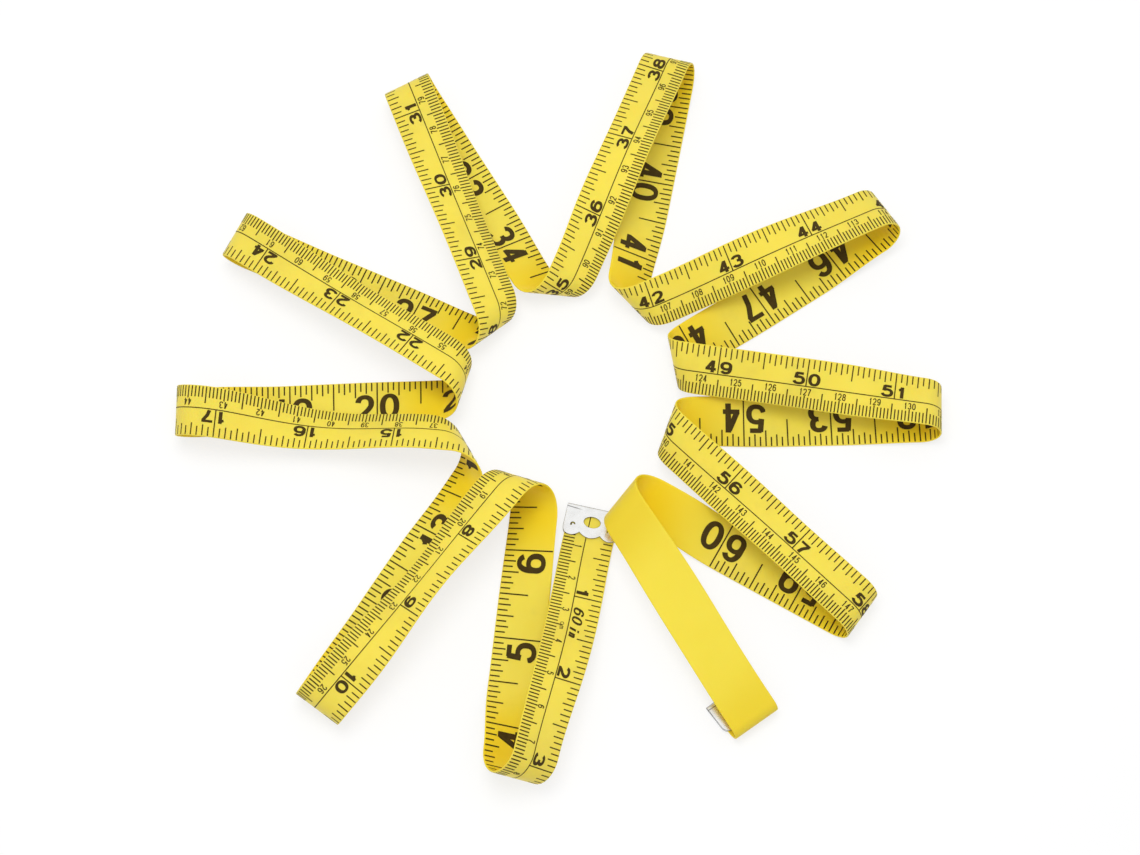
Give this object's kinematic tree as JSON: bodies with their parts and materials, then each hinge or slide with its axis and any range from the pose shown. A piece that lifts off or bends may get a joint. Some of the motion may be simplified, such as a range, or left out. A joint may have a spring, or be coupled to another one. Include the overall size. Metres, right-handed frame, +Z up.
{
  "type": "cloth tape measure",
  "caption": "Soft ribbon tape measure folded back and forth into a flat open star, printed with inch and centimetre scales, with a folded metal plate on each end and a tail that lifts.",
  "frame": {"origin": "centre of the star's bounding box, on the surface that it lies on", "axes": "+Z up off the table; +Y away from the start plate's side of the star, up in the picture; +X to the right in the picture"},
  "size_m": [0.22, 0.221, 0.0197],
  "materials": {
    "ribbon": "coated woven ribbon, semi-gloss",
    "plate": "bright plated sheet metal"
  },
  "bodies": {
    "star": {"tape": "ribbon", "start_tip": "plate"},
    "free_tail": {"tail": "ribbon", "end_tip": "plate"}
  },
  "joints": [
    {"name": "tail_lift", "type": "hinge", "parent": "star", "child": "free_tail", "pos_m": [0.01857, -0.03732, 0.01513], "axis": [-0.5963, -0.6281, -0.5], "range_deg": [0, 90]}
  ]
}
